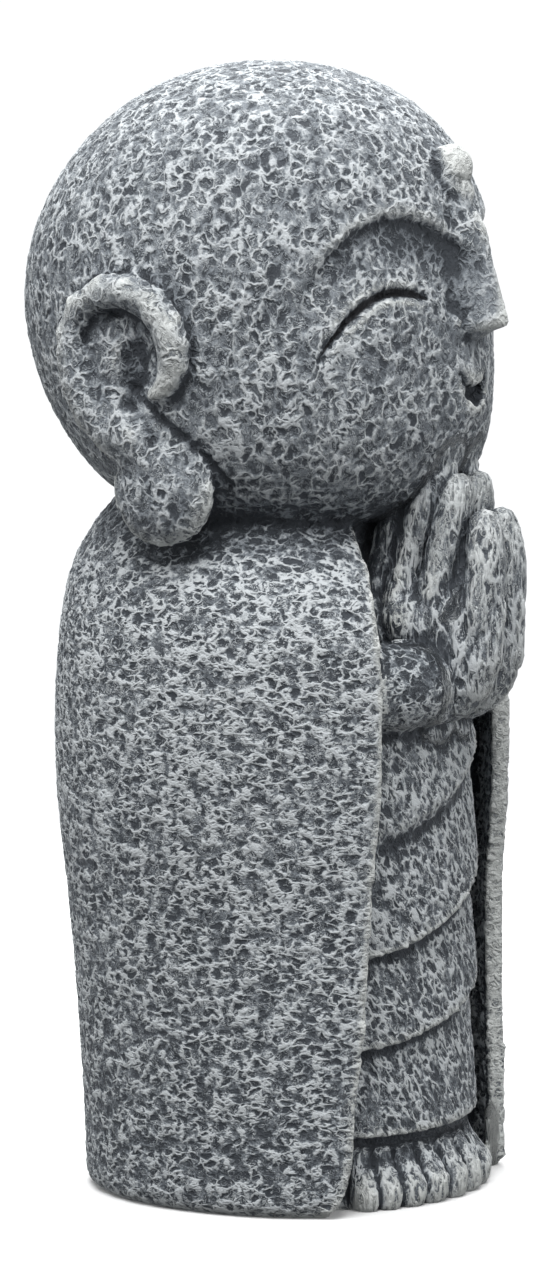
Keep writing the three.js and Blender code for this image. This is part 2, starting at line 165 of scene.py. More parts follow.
# The pattern changes over these heights, from the cloak's to the head's
NECK_FADE = (0.16, 0.185)

# The photograph's height, and how far its figure stands right of and above its middle, in pixels
PHOTO_HEIGHT = 1277
FIGURE_RIGHT = 21
FIGURE_ABOVE = 15

# Softboxes: name, turn round the figure from the camera in degrees, level distance and height,
# width and height of the light itself, the setting with its power, and whether it lights the floor
SOFTBOXES = (
    ("overhead_softbox", -15, 0.6, 1.2, 0.9, 0.9, "key_power", False),
    ("side_softbox", -72, 1.2, 0.5, 0.7, 1.0, "fill_power", False),
    ("front_softbox", 60, 1.2, 0.5, 0.7, 1.0, "front_power", False),
    ("backdrop_softbox", 180, 0.5, 0.8, 0.6, 0.6, "back_power", True),
)


class StoneSettings(bpy.types.PropertyGroup):
    """Sizes and colours of the cast stone."""

    voxel: FloatProperty(
        name="Voxel",
        description="Grid the solid is rebuilt on before it is carved",
        default=0.85 * MM,
        min=0.5 * MM,
        max=3 * MM,
        precision=5,
        subtype="DISTANCE",
    )
    triangles: IntProperty(
        name="Triangles",
        description="Most triangles that the finished statue may have",
        default=192000,
        min=20000,
        max=199000,
    )
    pit_size: FloatProperty(
        name="Pit size",
        description="Distance between the hammered pits",
        default=3.6 * MM,
        min=1 * MM,
        max=10 * MM,
        precision=5,
        subtype="DISTANCE",
    )
    pit_depth: FloatProperty(
        name="Pit depth",
        description="Depth of a hammered pit below the ridges round it",
        default=0.75 * MM,
        min=0.0,
        max=3 * MM,
        precision=5,
        subtype="DISTANCE",
    )
    crispness: FloatProperty(
        name="Crispness",
        description="How much the carved folds, ears and hems are brought out",
        default=1.0,
        min=0.0,
        max=1.5,
        subtype="FACTOR",
    )
    flesh_swell: FloatProperty(
        name="Fullness of flesh",
        description="How much fuller the fingers and toes are than in the solid",
        default=0.9 * MM,
        min=0.0,
        max=2 * MM,
        precision=5,
        subtype="DISTANCE",
    )
    hand_fill: FloatProperty(
        name="Fullness of the hands' backs",
        description="How far the dip between each hand and its sleeve is filled",
        default=7 * MM,
        min=0.0,
        max=10 * MM,
        precision=5,
        subtype="DISTANCE",
    )
    nose_width: FloatProperty(
        name="Nose width",
        description="How far the nose reaches to each side before it meets the cheeks",
        default=8.5 * MM,
        min=5 * MM,
        max=12 * MM,
        precision=5,
        subtype="DISTANCE",
    )
    brow_depth: FloatProperty(
        name="Brow depth",
        description="How far the eyes are set back under the brows",
        default=2.0 * MM,
        min=0.0,
        max=4 * MM,
        precision=5,
        subtype="DISTANCE",
    )
    groove_depth: FloatProperty(
        name="Eye groove depth",
        description="Depth of the closed eyes' lines",
        default=1.9 * MM,
        min=0.0,
        max=4 * MM,
        precision=5,
        subtype="DISTANCE",
    )
    jewel_height: FloatProperty(
        name="Jewel height",
        description="How far the forehead's jewel stands out",
        default=3.4 * MM,
        min=0.0,
        max=5 * MM,
        precision=5,
        subtype="DISTANCE",
    )
    ear_depth: FloatProperty(
        name="Ear hollow",
        description="How much deeper the hollow inside each ear is cut",
        default=1.2 * MM,
        min=0.0,
        max=4 * MM,
        precision=5,
        subtype="DISTANCE",
    )
    ear_neck: FloatProperty(
        name="Ear neck",
        description="How far the dip above each ear's lobe is filled",
        default=2.6 * MM,
        min=0.0,
        max=5 * MM,
        precision=5,
        subtype="DISTANCE",
    )
    toe_groove: FloatProperty(
        name="Toe grooves",
        description="Depth of the grooves cut between the toes",
        default=1.3 * MM,
        min=0.0,
        max=3 * MM,
        precision=5,
        subtype="DISTANCE",
    )
    pit_colour: FloatVectorProperty(
        name="Pits",
        description="Dark wash left in the pits",
        default=(0.05, 0.057, 0.067),
        size=3,
        min=0.0,
        max=1.0,
        subtype="COLOR",
    )
    stone_colour: FloatVectorProperty(
        name="Stone",
        description="Blue-grey body of the stone",
        default=(0.2, 0.222, 0.245),
        size=3,
        min=0.0,
        max=1.0,
        subtype="COLOR",
    )
    ridge_colour: FloatVectorProperty(
        name="Ridges",
        description="Pale paint brushed over the ridges",
        default=(0.54, 0.57, 0.59),
        size=3,
        min=0.0,
        max=1.0,
        subtype="COLOR",
    )
    edge_colour: FloatVectorProperty(
        name="Edges",
        description="Creamy white on the hems, toes, fingers and other high edges",
        default=(0.66, 0.68, 0.66),
        size=3,
        min=0.0,
        max=1.0,
        subtype="COLOR",
    )


class StudioSettings(bpy.types.PropertyGroup):
    """Camera, light and floor."""

    azimuth: FloatProperty(
        name="Azimuth",
        description="Angle of the camera round the figure, from its front",
        default=math.radians(-63),
        subtype="ANGLE",
    )
    distance: FloatProperty(
        name="Distance",
        description="Level distance from the figure's axis to the camera",
        default=1.3,
        min=0.2,
        subtype="DISTANCE",
    )
    camera_height: FloatProperty(
        name="Camera height",
        description="Height of the camera above the floor",
        default=0.264,
        subtype="DISTANCE",
    )
    frame_height: FloatProperty(
        name="Frame height",
        description="Height of what the picture takes in, at the figure",
        default=0.3422,
        min=0.05,
        subtype="DISTANCE",
    )
    key_power: FloatProperty(
        name="Key light",
        description="Power of the overhead softbox",
        default=16.0,
        min=0.0,
        subtype="POWER",
    )
    front_power: FloatProperty(
        name="Front light",
        description="Power of the softbox before the figure",
        default=5.0,
        min=0.0,
        subtype="POWER",
    )
    back_power: FloatProperty(
        name="Backdrop light",
        description="Power of the softbox over the floor behind the figure",
        default=9.0,
        min=0.0,
        subtype="POWER",
    )
    fill_power: FloatProperty(
        name="Side light",
        description="Power of the softbox beside the figure",
        default=3.2,
        min=0.0,
        subtype="POWER",
    )
    sky: FloatProperty(
        name="Room light",
        description="Brightness of the white room",
        default=0.5,
        min=0.0,
    )
    floor_radius: FloatProperty(
        name="Floor radius",
        description="Radius of the round floor",
        default=0.75,
        min=0.3,
        subtype="DISTANCE",
    )
    floor_colour: FloatVectorProperty(
        name="Floor",
        description="Pale floor",
        default=(0.93, 0.93, 0.93),
        size=3,
        min=0.0,
        max=1.0,
        subtype="COLOR",
    )


def smoothstep(value, low, high):
    """0 below low, 1 above high, smooth between them."""
    share = np.clip((value - low) / (high - low), 0.0, 1.0)
    return share * share * (3.0 - 2.0 * share)


def plain_mesh(obj):
    """The object's mesh with its modifiers worked in."""
    depsgraph = bpy.context.evaluated_depsgraph_get()
    depsgraph.update()
    return bpy.data.meshes.new_from_object(obj.evaluated_get(depsgraph))


def work_in(obj):
    """Replaces the object's mesh by what its modifiers make of it."""
    mesh = plain_mesh(obj)
    obj.modifiers.clear()
    old = obj.data
    obj.data = mesh
    bpy.data.meshes.remove(old)


def coordinates(mesh):
    """The mesh's points as an array of rows."""
    flat = np.empty(len(mesh.vertices) * 3)
    mesh.vertices.foreach_get("co", flat)
    return flat.reshape(-1, 3)


def normals(mesh):
    """The mesh's point normals as an array of rows."""
    flat = np.empty(len(mesh.vertices) * 3)
    mesh.vertex_normals.foreach_get("vector", flat)
    return flat.reshape(-1, 3)


def move_points(mesh, points):
    """Puts the mesh's points where the rows say."""
    mesh.vertices.foreach_set("co", points.reshape(-1).astype(np.float32))
    mesh.update()


def store(mesh, name, values):
    """Keeps one number for each point, for the material to read."""
    attribute = mesh.attributes.get(name) or mesh.attributes.new(name, "FLOAT", "POINT")
    attribute.data.foreach_set("value", values.astype(np.float32))


class Relaxer:
    """Averages values over each point's neighbours along the mesh's edges."""

    def __init__(self, mesh):
        ends = np.empty(len(mesh.edges) * 2, dtype=np.int32)
        mesh.edges.foreach_get("vertices", ends)
        self.start, self.end = ends.reshape(-1, 2).T
        self.count = len(mesh.vertices)
        both = np.concatenate([self.start, self.end])
        self.neighbours = np.maximum(np.bincount(both, minlength=self.count), 1)

    def column(self, values):
        total = np.bincount(self.start, values[self.end], self.count)
        total += np.bincount(self.end, values[self.start], self.count)
        return total / self.neighbours

    def relax(self, values, rounds, share=0.7):
        columns = np.atleast_2d(values.T)
        relaxed = []
        for column in columns:
            for _ in range(rounds):
                column = column + share * (self.column(column) - column)
            relaxed.append(column)
        return np.array(relaxed).T if values.ndim == 2 else relaxed[0]

    def steady(self, values, rounds):
        """Relaxes without the shrinking that plain relaxing brings."""
        soft = self.relax(values, rounds)
        return soft + self.relax(values - soft, rounds)


def right_side(points):
    """The points with both sides of the figure laid over its right."""
    return np.column_stack((-np.abs(points[:, 0]), points[:, 1], points[:, 2]))


def cast_solid(settings):
    """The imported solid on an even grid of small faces."""
    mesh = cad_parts[NODE].data.copy()
    mesh.materials.clear()
    shell = bmesh.new()
    shell.from_mesh(mesh)
    bmesh.ops.remove_doubles(shell, verts=shell.verts, dist=0.001 * MM)
    shell.to_mesh(mesh)
    shell.free()
    statue = bpy.data.objects.new("carved_stone", mesh)
    bpy.context.scene.collection.objects.link(statue)
    grid = statue.modifiers.new("grid", "REMESH")
    grid.mode = "VOXEL"
    grid.voxel_size = settings.voxel
    work_in(statue)
    return statue


def beside_the_sleeve(points):
    """1 in the dips between the hands and their sleeves, 0 elsewhere."""
    x, y, z = points.T
    wide, tall = HAND_BACK_SIZE
    fill = np.exp(-(((y - HAND_BACK[0]) / wide) ** 2) - ((z - HAND_BACK[1]) / tall) ** 2)
    across = np.abs(x)
    return fill * (1.0 - smoothstep(across, *HAND_BACK_END)) * smoothstep(across, *HAND_BACK_START)


def soften(mesh, settings):
    """Rounds away the solid's facets, brings out its folds and hems, and fills out the flesh."""
    relaxer = Relaxer(mesh)
    cast = coordinates(mesh)
    hand_back = beside_the_sleeve(cast)
    flesh = np.maximum(in_hands(cast), in_toes(cast))
    store(mesh, "fine_work", np.maximum(flesh, smoothstep(hand_back, 0.1, 0.4)))
    crisp = relaxer.steady(cast, 4)
    round_form = relaxer.steady(cast, 45)
    change = np.linalg.norm(round_form - crisp, axis=1)
    change = np.maximum(relaxer.relax(change, 6), change * 0.8)
    plain = 1.0 - smoothstep(change, 0.25 * MM, 0.5 * MM)
    plain *= 1.0 - flesh
    plain = relaxer.relax(plain, 4)
    points = crisp + (round_form - crisp) * plain[:, None]
    toes = relaxer.relax(in_toes(cast), 2)[:, None]
    points += (relaxer.relax(crisp, 12) - points) * toes
    face = smoothstep(-cast[:, 1], 12 * MM, 25 * MM)
    face *= smoothstep(cast[:, 2], CHIN_HEIGHT, HEAD_MIDDLE)
    carved = (1.0 - plain) * settings.crispness * (1.0 - 0.6 * np.maximum(flesh, face))
    points += (points - relaxer.relax(points, 12)) * carved[:, None] * (1.0 - toes)
    points[:, 0] += np.sign(points[:, 0]) * settings.hand_fill * hand_back
    move_points(mesh, points)
    swell = relaxer.relax(flesh, 3) * settings.flesh_swell
    move_points(mesh, points + normals(mesh) * swell[:, None])


def round_the_head(points):
    """Each point's angle from the front in degrees, without its side, and height in millimetres."""
    x, y, z = points.T
    angle = np.degrees(np.arctan2(np.abs(x), HEAD_SETBACK - y))
    return angle, (z - HEAD_MIDDLE) / MM


def eye_gap(angle, height):
    """How far from its closed eye's line a point lies, in millimetres."""
    out = (angle - EYE_PEAK_DEG) / EYE_SPREAD_DEG
    drop = np.where(angle > EYE_PEAK_DEG, EYE_FALL_OUT, EYE_FALL_IN)
    slope = 2.0 * drop * out / (EYE_SPREAD_DEG * MM_PER_DEGREE)
    return np.abs(EYE_HEIGHT - drop * out**2 - height) / np.sqrt(1.0 + slope**2)


def eye_cut(angle, height, settings):
    """Depth of the eye's curved line, between slightly swollen lids."""
    gap = eye_gap(angle, height)
    along = (angle - EYE_INNER_DEG) / (EYE_OUTER_DEG - EYE_INNER_DEG)
    taper = np.clip(4.0 * along * (1.0 - along), 0.0, 1.0) ** 0.35
    width = 0.5 + 0.95 * taper
    cut = settings.groove_depth * taper * (1.0 - smoothstep(gap / width, 0.25, 1.2))
    return cut - 0.3 * MM * taper * np.exp(-(((gap - 2.5) / 1.2) ** 2))


def below_brow(angle, height):
    """How far below its brow's arc a point lies, in millimetres, and its place along the arc."""
    sideways = (angle * MM_PER_DEGREE - BROW_MIDDLE) / BROW_REACH
    fall = np.where(sideways > 0.0, BROW_FALL_OUT, BROW_FALL_IN)
    return BROW_PEAK - fall * np.minimum(sideways**2, 1.6) - height, sideways


def brow_cut(angle, height, settings):
    """How far the eye is set back under a brow that stands out in a clear arc."""
    below, sideways = below_brow(angle, height)
    reach = np.exp(-((sideways / 1.15) ** 6))
    socket = smoothstep(below, -0.5, 1.8) * (1.0 - smoothstep(below, 4.0, 14.0))
    ridge = np.exp(-(((below + 2.0) / 2.2) ** 2))
    return reach * settings.brow_depth * (socket - 0.12 * ridge)


def in_sockets(points):
    """1 in the shaded inner corners under the brows, 0 elsewhere."""
    angle, height = round_the_head(points)
    below = below_brow(angle, height)[0]
    shade = smoothstep(below, 0.2, 2.2) * (1.0 - smoothstep(below, 7.0, 19.0))
    shade *= (1.0 - smoothstep(angle, 22.0, 44.0)) * smoothstep(angle, 3.0, 7.0)
    return np.where(points[:, 1] < 0.0, shade, 0.0)


def smile_cut(x, height, settings):
    """Depth of the small open smile."""
    across = np.abs(x) / (MOUTH_HALF_WIDTH * MM)
    upper = UPPER_LIP + (MOUTH_CORNERS - UPPER_LIP) * across**2
    lower = LOWER_LIP + (MOUTH_CORNERS - LOWER_LIP) * across**2
    inside = smoothstep(np.minimum(upper - height, height - lower), -0.5, 0.5)
    return settings.groove_depth * 1.2 * inside * (1.0 - smoothstep(across, 0.95, 1.15))


def shape_nose(mesh, settings):
    """Gives the nose a straight back that falls away softly to both cheeks."""
    relaxer = Relaxer(mesh)
    points = coordinates(mesh)
    x, y, z = points.T
    across = np.clip(np.abs(x) / settings.nose_width, 0.0, 1.0)
    share = smoothstep(z, *NOSE_TIP) * (1.0 - smoothstep(z, *NOSE_ROOT))
    share *= (y < -NOSE_START) * (1.0 - smoothstep(across, 0.8, 1.0))
    for rounds in (20, 20, 20, 8):
        points += (relaxer.relax(points, rounds) - points) * share[:, None]
        across = np.clip(np.abs(points[:, 0]) / settings.nose_width, 0.0, 1.0)
        up = points[:, 2] / MM
        cheek = CHEEK_REACH - CHEEK_FALL * np.maximum(up - CHEEK_TOP, 0.0)
        ridge = np.interp(up, *np.array(NOSE_LINE).T)
        forward = cheek + (ridge - cheek) * (1.0 - across**2) ** 2
        points[:, 1] -= (forward * MM + points[:, 1]) * share
    move_points(mesh, points + (relaxer.steady(points, 2) - points) * share[:, None])


def carve_face(mesh, settings):
    """Cuts the brows, the closed eyes and the smile, and swells the forehead's jewel."""
    points = coordinates(mesh)
    angle, height = round_the_head(points)
    front = points[:, 1] < HEAD_SETBACK
    cut = eye_cut(angle, height, settings) + brow_cut(angle, height, settings)
    cut += smile_cut(points[:, 0], height, settings)
    from_jewel = np.hypot(points[:, 0] / MM, height - JEWEL_HEIGHT) / JEWEL_RADIUS
    cut -= settings.jewel_height * np.sqrt(np.clip(1.0 - from_jewel**2, 0.0, 1.0))
    move_points(mesh, points - normals(mesh) * np.where(front, cut, 0.0)[:, None])


def in_ears(points):
    """1 in the dark hollows of the ears, 0 elsewhere."""
    away = (right_side(points) - np.array(EAR_HOLLOW)) / np.array(EAR_HOLLOW_SIZE)
    away = np.linalg.norm(away, axis=1)
    return 1.0 - smoothstep(away, 0.55, 1.05)


def from_ear_crease(points):
    """How far each point lies from the creases before the ears' lobes, seen from the side."""
    gap = np.full(len(points), np.inf)
    seen = points[:, 1:] / MM
    for start, end in zip(EAR_CREASE[:-1], EAR_CREASE[1:]):
        start, run = np.array(start), np.array(end) - np.array(start)
        share = np.clip((seen - start) @ run / (run @ run), 0.0, 1.0)
        gap = np.minimum(gap, np.linalg.norm(seen - start - share[:, None] * run, axis=1))
    return np.where(np.abs(points[:, 0]) > EAR_START, gap, np.inf)


def carve_ears(mesh, settings):
    """Deepens the hollow inside each ear, fills its neck and cuts the crease before its lobe."""
    points = coordinates(mesh)
    inward = settings.ear_depth * in_ears(points)
    inward += settings.ear_depth * (1.0 - smoothstep(from_ear_crease(points), 0.4, 1.7))
    wide, tall = EAR_NECK_SIZE
    neck = ((points[:, 1] - EAR_NECK[0]) / wide) ** 2
    neck += ((points[:, 2] - EAR_NECK[1]) / tall) ** 2
    inward -= settings.ear_neck * np.exp(-neck) * (np.abs(points[:, 0]) > EAR_START)
    points[:, 0] -= np.sign(points[:, 0]) * inward
    move_points(mesh, points)


def from_toe_groove(points):
    """How far each point lies from the nearest groove between two toes, in millimetres."""
    angle = np.abs(np.degrees(np.arctan2(points[:, 0], -points[:, 1])))
    gap = np.min([np.abs(angle - groove) for groove in TOE_GROOVES_DEG], axis=0)
    return np.radians(gap) * np.hypot(points[:, 0], points[:, 1]) / MM


def carve_toes(mesh, settings):
    """Cuts the grooves between the toes, and keeps the underside flat."""
    points = coordinates(mesh)
    groove = in_toes(points) * (1.0 - smoothstep(from_toe_groove(points), 0.2, 1.1))
    groove *= smoothstep(np.hypot(points[:, 0], points[:, 1]), TOE_START, TOE_START + 4 * MM)
    points -= normals(mesh) * (settings.toe_groove * groove)[:, None]
    points[:, 2] = np.maximum(points[:, 2], 0.0)
    move_points(mesh, points)


def in_hands(points):
    """1 on the pressed hands, 0 elsewhere."""
    sided = right_side(points) / MM
    sided[:, 2] -= CHIN_HEIGHT / MM
    depth = np.full(len(points), -np.inf)
    for line in HAND_LINES:
        for start, end in zip(line[:-1], line[1:]):
            start, end = np.array(start), np.array(end)
            run = (end - start)[:3]
            share = np.clip((sided - start[:3]) @ run / (run @ run), 0.0, 1.0)
            gap = np.linalg.norm(sided - start[:3] - share[:, None] * run, axis=1)
            radius = start[3] + share * (end[3] - start[3])
            depth = np.maximum(depth, radius - gap)
    return smoothstep(depth, -2.4, -1.2)


def in_toes(points):
    """1 on the toes, 0 elsewhere."""
    x, y, z = points.T
    angle = np.degrees(np.arctan2(x, -y))
    between = smoothstep(angle, TOE_RIGHT_DEG - 1, TOE_RIGHT_DEG + 1)
    between *= 1.0 - smoothstep(angle, TOE_LEFT_DEG - 1, TOE_LEFT_DEG + 1)
    near = 1.0 - smoothstep(np.hypot(x, y), TOE_REACH, TOE_REACH + 2 * MM)
    return between * near * (1.0 - smoothstep(z, TOE_HEIGHT - 2 * MM, TOE_HEIGHT))


def in_sleeves(points):
    """1 on the shaded sleeves under the hands, 0 elsewhere."""
    away = np.linalg.norm(right_side(points) - np.array(SLEEVE), axis=1) / SLEEVE_RADIUS
    return 1.0 - smoothstep(away, 0.5, 1.1)


def in_robe(points):
    """1 on the robe's folds inside the cloak's opening, 0 elsewhere."""
    x, y, z = points.T
    inside = 1.0 - smoothstep(np.hypot(x, y), ROBE_REACH, ROBE_REACH + 2 * MM)
    return inside * (y < 0.0) * (1.0 - smoothstep(z, ROBE_TOP, ROBE_TOP + 6 * MM))


def in_calm(points):
    """1 on the nose, mouth and jewel and lower in the eye sockets, which are worked smoother."""
    nose = np.linalg.norm((points - np.array(NOSE)) / np.array(NOSE_SIZE), axis=1)
    return np.maximum(0.7 - 0.7 * smoothstep(nose, 0.6, 1.2), 0.6 * in_sockets(points))


def in_hems(points, outward):
    """1 on the cut faces down both sides of the cloak's opening, 0 elsewhere."""
    x, y, z = points.T
    facing = smoothstep(-np.sign(x) * outward[:, 0], 0.25, 0.5)
    facing *= smoothstep(-outward[:, 1], 0.25, 0.5)
    outer = smoothstep(np.hypot(x, y), *HEM_START) * (np.abs(x) > HEM_SIDE)
    return facing * outer * (1.0 - smoothstep(z, SHOULDER_HEIGHT - 10 * MM, SHOULDER_HEIGHT))


class Blocks:
    """The statue as a stack of small blocks, to ask what stands in the way of light."""

    def __init__(self, mesh, size):
        points = coordinates(mesh)
        self.size = size
        self.low = points.min(axis=0) - 2 * size
        self.shape = np.ceil((points.max(axis=0) + 2 * size - self.low) / size).astype(int)
        self.full = np.zeros(self.shape, dtype=bool)
        tree = BVHTree.FromPolygons(
            [tuple(point) for point in points], [tuple(face.vertices) for face in mesh.polygons]
        )
        heights = self.low[2] + (np.arange(self.shape[2]) + 0.5) * size
        up = Vector((0.0, 0.0, 1.0))
        for i in range(self.shape[0]):
            for j in range(self.shape[1]):
                across = self.low[0] + (i + 0.5) * size
                along = self.low[1] + (j + 0.5) * size
                start = Vector((across, along, -size))
                crossings = []
                hit = tree.ray_cast(start, up)[0]
                while hit is not None:
                    crossings.append(hit.z)
                    hit = tree.ray_cast(hit + up * 0.01 * MM, up)[0]
                for bottom, top in zip(crossings[0::2], crossings[1::2]):
                    self.full[i, j, (heights > bottom) & (heights < top)] = True

    def hold(self, points):
        """Which of the points lie in a full block."""
        place = ((points - self.low) / self.size).astype(int)
        inside = np.all((place >= 0) & (place < self.shape), axis=1)
        x, y, z = np.where(inside[:, None], place, 0).T
        return self.full[x, y, z] & inside

    def shelter(self, points, outward, reach):
        """The share of the open half-space that other parts of the statue close off."""
        steps = reach * np.array([0.07, 0.13, 0.21, 0.31, 0.44, 0.6, 0.78, 1.0])
        rays = 40
        closed = np.zeros(len(points))
        total = np.zeros(len(points))
        start = points + outward * 1.2 * self.size
        for i in range(rays):
            height = 1.0 - (2.0 * i + 1.0) / rays
            turn = i * math.pi * (3.0 - math.sqrt(5.0))
            level = math.sqrt(1.0 - height * height)
            ray = np.array((level * math.cos(turn), level * math.sin(turn), height))
            facing = np.maximum(outward @ ray, 0.0)
            seen = np.flatnonzero(facing > 0.05)
            stopped = np.zeros(len(seen), dtype=bool)
            for step in steps:
                stopped |= self.hold(start[seen] + ray * step)
            closed[seen] += facing[seen] * stopped
            total += facing
        return closed / np.maximum(total, 1e-6)


def mark_form(mesh):
    """Stores the high edges, where paint is brushed on, and painted shade in the creases and
    sheltered hollows, together with the wash that stays there.
    """
    relaxer = Relaxer(mesh)
    points = coordinates(mesh)
    outward = normals(mesh)
    slight = np.einsum("ij,ij->i", points - relaxer.relax(points, 14), outward)
    slight = relaxer.relax(slight, 2) / MM
    large = np.einsum("ij,ij->i", points - relaxer.relax(points, 70), outward)
    large = relaxer.relax(large, 4) / MM
    ahead = points[:, 1] < 0.0
    jewel = np.hypot(points[:, 0], points[:, 2] - HEAD_MIDDLE - JEWEL_HEIGHT * MM)
    jewel = np.where(ahead, 1.0 - smoothstep(jewel / (JEWEL_RADIUS * MM), 0.75, 1.1), 0.0)
    below = below_brow(*round_the_head(points))[0]
    brow = np.where(ahead, np.exp(-(((below + 1.0) / 3.0) ** 2)), 0.0)
    hems = in_hems(points, outward)
    cut_faces = KDTree(int((hems > 0.5).sum()))
    for number in np.flatnonzero(hems > 0.5):
        cut_faces.insert(points[number], int(number))
    cut_faces.balance()
    rims = np.zeros(len(points))
    for number in np.flatnonzero(ahead & (points[:, 2] < SHOULDER_HEIGHT)):
        rims[number] = cut_faces.find(points[number])[2] / MM
    rims = np.where(rims > 0.0, 1.0 - smoothstep(rims, 1.2, 3.0), 0.0)
    hems = np.maximum(hems, 0.95 * rims)
    worn = np.maximum(0.75 * smoothstep(slight, 0.17, 0.4), smoothstep(large, 0.75, 1.6))
    worn *= 1.0 - 0.55 * np.maximum(in_hands(points), brow)
    store(mesh, "edge_wear", np.maximum.reduce((worn, 0.3 * jewel, hems)))
    feet = in_toes(points)
    robe = in_robe(points)
    # Painted shade, with the dark wash that settles there: creases of the folds and hollows,
    # grooves between the toes and the creases before the ears' lobes
    fold = -slight * (1.0 + 1.6 * robe)
    crease = np.maximum(smoothstep(fold, 0.08, 0.34), 0.8 * smoothstep(-large, 0.5, 1.4))
    outer = smoothstep(np.hypot(points[:, 0], points[:, 1]), TOE_START, TOE_START + 4 * MM)
    grooves = 0.9 * feet * outer * (1.0 - smoothstep(from_toe_groove(points), 0.35, 0.95))
    lobes = 1.0 - smoothstep(from_ear_crease(points), 0.6, 1.7)
    store(mesh, "crease", np.maximum.reduce((crease * (1.0 - 0.3 * feet), grooves, lobes)))
    store(mesh, "calm", np.maximum(in_calm(points), 0.5 * jewel))
    # Painted shade, with the dark wash that stays there: how much of the light the statue closes
    # off round each point, more in the ears, the sockets under the brows and the sleeves under the
    # hands, less on the toes and hems
    blocks = Blocks(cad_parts[NODE].data, 1.6 * MM)
    smooth = relaxer.relax(outward, 6)
    smooth /= np.linalg.norm(smooth, axis=1)[:, None]
    hollow = relaxer.relax(blocks.shelter(points, smooth, 36 * MM), 5)
    hollow *= 1.0 - np.maximum(0.45 * feet, 0.7 * hems)
    shaded = np.maximum(0.5 * in_ears(points), 0.52 * in_sockets(points))
    store(mesh, "hollow", np.maximum.reduce((hollow, shaded, 0.55 * in_sleeves(points))))
    store(mesh, "robe", robe)


def mark_swell(mesh):
    """Stores how far the hammered surface stands out of its own form, in millimetres."""
    relaxer = Relaxer(mesh)
    points = coordinates(mesh)
    swell = np.einsum("ij,ij->i", points - relaxer.relax(points, 10), normals(mesh))
    store(mesh, "relief_swell", swell / MM)


class Wiring:
    """Adds nodes to a tree and joins them up, for geometry and for materials alike."""

    def __init__(self, tree):
        self.tree = tree

    def node(self, kind, **settings):
        made = self.tree.nodes.new(kind)
        for name, value in settings.items():
            setattr(made, name, value)
        return made

    def feed(self, socket, value):
        if isinstance(value, bpy.types.NodeSocket):
            self.tree.links.new(value, socket)
        else:
            socket.default_value = value

    def maths(self, operation, first, second=0.0, third=0.0, clamp=False):
        made = self.node("ShaderNodeMath", operation=operation, use_clamp=clamp)
        for socket, value in zip(made.inputs, (first, second, third)):
            self.feed(socket, value)
        return made.outputs[0]

    def vector_maths(self, operation, first, second):
        made = self.node("ShaderNodeVectorMath", operation=operation)
        self.feed(made.inputs[0], first)
        self.feed(made.inputs["Scale"] if operation == "SCALE" else made.inputs[1], second)
        return made.outputs[0]

    def parts(self, vector):
        made = self.node("ShaderNodeSeparateXYZ")
        self.feed(made.inputs[0], vector)
        return made.outputs

    def shift(self, place, noise, reach):
        """The place, moved by a colour noise that's grey where it stays."""
        moved = self.vector_maths("SUBTRACT", noise["Color"], (0.5, 0.5, 0.5))
        return self.vector_maths("ADD", place, self.vector_maths("SCALE", moved, reach))

    def ramp(self, value, low, high, to_low=0.0, to_high=1.0):
        made = self.node("ShaderNodeMapRange", interpolation_type="SMOOTHSTEP")
        for name, number in (
            ("Value", value),
            ("From Min", low),
            ("From Max", high),
            ("To Min", to_low),
            ("To Max", to_high),
        ):
            self.feed(made.inputs[name], number)
        return made.outputs[0]

    def blend(self, share, first, second):
        made = self.node("ShaderNodeMix", data_type="FLOAT")
        sockets = (made.inputs[0], made.inputs[2], made.inputs[3])
        for socket, value in zip(sockets, (share, first, second)):
            self.feed(socket, value)
        return made.outputs[0]

    def noise(self, place, scale, detail=2.0, roughness=0.5):
        made = self.node("ShaderNodeTexNoise", noise_dimensions="3D")
        self.feed(made.inputs["Vector"], place)
        self.feed(made.inputs["Scale"], scale)
        made.inputs["Detail"].default_value = detail
        made.inputs["Roughness"].default_value = roughness
        return made.outputs

    def cell_edges(self, place, scale):
        made = self.node("ShaderNodeTexVoronoi", feature="DISTANCE_TO_EDGE")
        self.feed(made.inputs["Vector"], place)
        self.feed(made.inputs["Scale"], scale)
        return made.outputs["Distance"]


def worked_place(wiring, place, fine_work, robe):
    """Coordinates that lay the pits level on the cloak, slanting on the robe, round on the head and
    upright on fingers and toes."""
    w = wiring
    x, y, z = w.parts(place)
    under = w.maths("MINIMUM", w.maths("SUBTRACT", z, SHOULDER_HEIGHT), 0.0)
    body_z = w.maths("MULTIPLY_ADD", under, 0.62, w.maths("MULTIPLY", z, 0.88))
    body_z = w.blend(robe, body_z, w.maths("MULTIPLY_ADD", x, 0.7, w.maths("MULTIPLY", z, 1.05)))
    joined = w.node("ShaderNodeCombineXYZ")
    finer = w.blend(fine_work, w.blend(robe, 1.0, 1.2), 1.5)
    w.feed(joined.inputs[0], w.maths("MULTIPLY", x, finer))
    w.feed(joined.inputs[1], w.maths("MULTIPLY", y, finer))
    w.feed(joined.inputs[2], w.blend(fine_work, body_z, w.maths("MULTIPLY", z, 0.5)))
    return joined.outputs[0]


